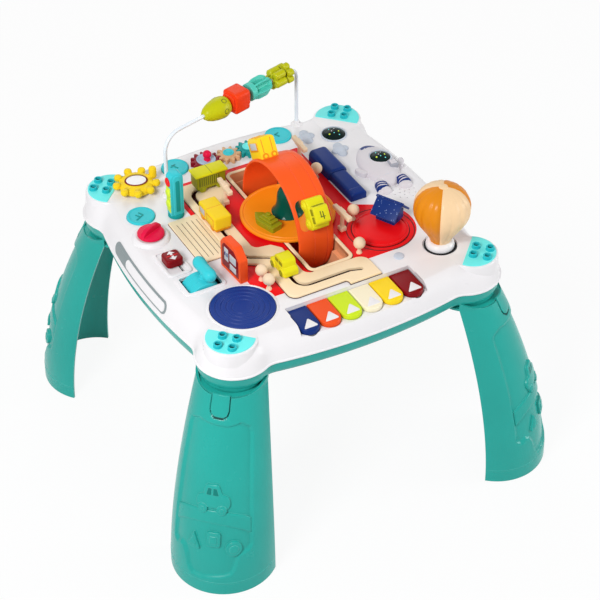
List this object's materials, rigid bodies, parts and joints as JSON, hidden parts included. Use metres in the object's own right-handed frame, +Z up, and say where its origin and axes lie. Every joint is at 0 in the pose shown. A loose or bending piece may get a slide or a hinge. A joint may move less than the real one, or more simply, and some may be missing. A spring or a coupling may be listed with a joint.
{
  "type": "musical activity table",
  "caption": "Toddler's musical activity table: a white deck of gears, track toys, buttons, piano keys and a bead arch on splayed teal legs.",
  "frame": {"origin": "centre of the four feet's outline, on the floor", "axes": "+Z up; the piano keys face -Y, the long label plate faces -X, the bead arch and gears are towards +Y and the astronaut towards +X"},
  "size_m": [0.4888, 0.4888, 0.3855],
  "materials": {
    "white_plastic": "gloss",
    "teal_plastic": "gloss",
    "cyan_plastic": "gloss",
    "red_plastic": "gloss",
    "dark_red_plastic": "gloss",
    "magenta_plastic": "gloss",
    "orange_plastic": "gloss",
    "amber_plastic": "gloss",
    "yellow_plastic": "gloss",
    "lime_plastic": "gloss",
    "cream_plastic": "satin",
    "peach_plastic": "satin",
    "beige_plastic": "satin",
    "navy_plastic": "gloss",
    "green_lens": "gloss",
    "grey_plastic": "matt",
    "pale_grey_plastic": "gloss",
    "steel": "satin",
    "black_plastic": "matt",
    "board_green": "satin"
  },
  "bodies": {
    "table": {"top_shell": "white_plastic", "base_pan": "teal_plastic", "leg_front_left": "teal_plastic", "leg_front_right": "teal_plastic", "leg_back_right": "teal_plastic", "leg_back_left": "teal_plastic", "stud_plates": "cyan_plastic", "play_panel": "red_plastic", "road_track": "cream_plastic", "wheel_well": "peach_plastic", "turntable_bridge": "amber_plastic", "ribbed_board": "cream_plastic", "label_plate": "grey_plastic", "sky_reliefs": "pale_grey_plastic", "sky_lenses": "green_lens", "scenery_pegs": "beige_plastic", "fuel_pump": "orange_plastic", "bead_wire": "white_plastic", "pivot_rods": "steel", "circuit_board": "board_green", "loudspeaker": "black_plastic", "battery_cells": "steel", "battery_cover": "teal_plastic", "case_screws": "steel", "slider_base": "navy_plastic"},
    "ring": {"ring_wheel": "orange_plastic", "ring_vehicles": "yellow_plastic"},
    "turntable": {"turntable": "amber_plastic", "turntable_boat": "lime_plastic", "turntable_dome": "green_lens"},
    "house_spinner": {"house_disc": "red_plastic", "house": "navy_plastic"},
    "bead_drop": {"bead_drop": "lime_plastic"},
    "bead_block": {"bead_block": "orange_plastic"},
    "bead_cage": {"bead_cage": "cyan_plastic"},
    "bead_flower": {"bead_flower": "lime_plastic"},
    "bead_ring": {"bead_ring": "lime_plastic"},
    "traffic_light": {"traffic_light": "teal_plastic"},
    "star_wheel": {"star_wheel": "yellow_plastic"},
    "gear_red": {"gear_red": "dark_red_plastic"},
    "gear_beige": {"gear_beige": "beige_plastic"},
    "gear_teal": {"gear_teal": "teal_plastic"},
    "button_left": {"button_left": "cyan_plastic"},
    "button_back_left": {"button_back_left": "cyan_plastic"},
    "button_back_right": {"button_back_right": "cyan_plastic"},
    "rotary_knob": {"rotary_knob": "magenta_plastic"},
    "slide_switch": {"slide_switch": "dark_red_plastic"},
    "shift_lever": {"shift_lever": "cyan_plastic"},
    "drum_pad": {"drum_pad": "navy_plastic"},
    "key_1": {"key_1": "navy_plastic"},
    "key_2": {"key_2": "orange_plastic"},
    "key_3": {"key_3": "lime_plastic"},
    "key_4": {"key_4": "cream_plastic"},
    "key_5": {"key_5": "yellow_plastic"},
    "key_6": {"key_6": "dark_red_plastic"},
    "balloon": {"balloon": "amber_plastic"},
    "slider_cover": {"slider_cover": "navy_plastic"},
    "wagon": {"wagon": "lime_plastic"},
    "truck": {"truck": "yellow_plastic"},
    "track_car": {"track_car": "lime_plastic"}
  },
  "joints": [
    {"name": "ring_spin", "type": "hinge", "parent": "table", "child": "ring", "pos_m": [0.0035, 0.0065, 0.294], "axis": [1, 0, 0], "continuous": true},
    {"name": "turntable_spin", "type": "hinge", "parent": "table", "child": "turntable", "pos_m": [0.0035, 0.0065, 0.29], "axis": [0, 0, 1], "continuous": true},
    {"name": "house_swing", "type": "hinge", "parent": "table", "child": "house_spinner", "pos_m": [0.083, -0.068, 0.29], "axis": [0, 0, 1], "range_deg": [-85, 10]},
    {"name": "bead_drop_spin", "type": "hinge", "parent": "table", "child": "bead_drop", "pos_m": [-0.02479, 0.12967, 0.372], "axis": [0.9643, 0.2649, 0], "continuous": true},
    {"name": "bead_block_spin", "type": "hinge", "parent": "table", "child": "bead_block", "pos_m": [0.008, 0.13867, 0.372], "axis": [0.9643, 0.2649, 0], "continuous": true},
    {"name": "bead_cage_spin", "type": "hinge", "parent": "table", "child": "bead_cage", "pos_m": [0.04175, 0.14794, 0.372], "axis": [0.9643, 0.2649, 0], "continuous": true},
    {"name": "bead_flower_spin", "type": "hinge", "parent": "table", "child": "bead_flower", "pos_m": [0.06971, 0.15563, 0.372], "axis": [0.9643, 0.2649, 0], "continuous": true},
    {"name": "bead_ring_spin", "type": "hinge", "parent": "table", "child": "bead_ring", "pos_m": [0.08417, 0.1596, 0.372], "axis": [0.9643, 0.2649, 0], "continuous": true},
    {"name": "traffic_light_spin", "type": "hinge", "parent": "table", "child": "traffic_light", "pos_m": [-0.108, 0.0695, 0.29], "axis": [0, 0, 1], "continuous": true},
    {"name": "star_wheel_spin", "type": "hinge", "parent": "table", "child": "star_wheel", "pos_m": [-0.126, 0.138, 0.29], "axis": [0, 0, 1], "continuous": true},
    {"name": "gear_red_spin", "type": "hinge", "parent": "table", "child": "gear_red", "pos_m": [-0.0329, 0.142, 0.29], "axis": [0, 0, 1], "continuous": true},
    {"name": "gear_beige_spin", "type": "hinge", "parent": "table", "child": "gear_beige", "pos_m": [-0.003, 0.142, 0.29], "axis": [0, 0, 1], "continuous": true},
    {"name": "gear_teal_spin", "type": "hinge", "parent": "table", "child": "gear_teal", "pos_m": [0.023, 0.142, 0.29], "axis": [0, 0, 1], "continuous": true},
    {"name": "button_left_press", "type": "slide", "parent": "table", "child": "button_left", "axis": [0, 0, -1], "range_m": [0, 0.002], "stiffness_N_per_m": 300},
    {"name": "button_back_left_press", "type": "slide", "parent": "table", "child": "button_back_left", "axis": [0, 0, -1], "range_m": [0, 0.002], "stiffness_N_per_m": 300},
    {"name": "button_back_right_press", "type": "slide", "parent": "table", "child": "button_back_right", "axis": [0, 0, -1], "range_m": [0, 0.002], "stiffness_N_per_m": 300},
    {"name": "knob_turn", "type": "hinge", "parent": "table", "child": "rotary_knob", "pos_m": [-0.1515, 0.045, 0.29], "axis": [0, 0, 1], "range_deg": [-135, 135]},
    {"name": "switch_slide", "type": "slide", "parent": "table", "child": "slide_switch", "axis": [0, 1, 0], "range_m": [-0.013, 0.008]},
    {"name": "lever_swing", "type": "hinge", "parent": "table", "child": "shift_lever", "pos_m": [-0.1385, -0.054, 0.276], "axis": [0, 1, 0], "range_deg": [-20, 20], "stiffness_Nm_per_rad": 0.12},
    {"name": "drum_press", "type": "slide", "parent": "table", "child": "drum_pad", "axis": [0, 0, -1], "range_m": [0, 0.0025], "stiffness_N_per_m": 600},
    {"name": "key_1_press", "type": "hinge", "parent": "table", "child": "key_1", "pos_m": [-0.06645, -0.134, 0.2805], "axis": [1, 0, 0], "range_deg": [0, 3], "stiffness_Nm_per_rad": 0.6},
    {"name": "key_2_press", "type": "hinge", "parent": "table", "child": "key_2", "pos_m": [-0.04035, -0.134, 0.2805], "axis": [1, 0, 0], "range_deg": [0, 3], "stiffness_Nm_per_rad": 0.6},
    {"name": "key_3_press", "type": "hinge", "parent": "table", "child": "key_3", "pos_m": [-0.01425, -0.134, 0.2805], "axis": [1, 0, 0], "range_deg": [0, 3], "stiffness_Nm_per_rad": 0.6},
    {"name": "key_4_press", "type": "hinge", "parent": "table", "child": "key_4", "pos_m": [0.01185, -0.134, 0.2805], "axis": [1, 0, 0], "range_deg": [0, 3], "stiffness_Nm_per_rad": 0.6},
    {"name": "key_5_press", "type": "hinge", "parent": "table", "child": "key_5", "pos_m": [0.03795, -0.134, 0.2805], "axis": [1, 0, 0], "range_deg": [0, 3], "stiffness_Nm_per_rad": 0.6},
    {"name": "key_6_press", "type": "hinge", "parent": "table", "child": "key_6", "pos_m": [0.06405, -0.134, 0.2805], "axis": [1, 0, 0], "range_deg": [0, 3], "stiffness_Nm_per_rad": 0.6},
    {"name": "balloon_spin", "type": "hinge", "parent": "table", "child": "balloon", "pos_m": [0.1277, -0.124, 0.29], "axis": [0, 0, 1], "continuous": true},
    {"name": "cover_slide", "type": "slide", "parent": "table", "child": "slider_cover", "axis": [0, 1, 0], "range_m": [-0.045, 0]},
    {"name": "wagon_slide", "type": "slide", "parent": "table", "child": "wagon", "axis": [1, 0, 0], "range_m": [-0.004, 0.006]},
    {"name": "truck_slide", "type": "slide", "parent": "table", "child": "truck", "axis": [0, 1, 0], "range_m": [-0.03, 0.03]},
    {"name": "car_slide", "type": "slide", "parent": "table", "child": "track_car", "axis": [0, 1, 0], "range_m": [-0.012, 0.012]}
  ],
  "couplings": [
    {"joint": "gear_beige_spin", "follows": "gear_red_spin", "ratio": -1.3},
    {"joint": "gear_teal_spin", "follows": "gear_red_spin", "ratio": 1.3}
  ]
}
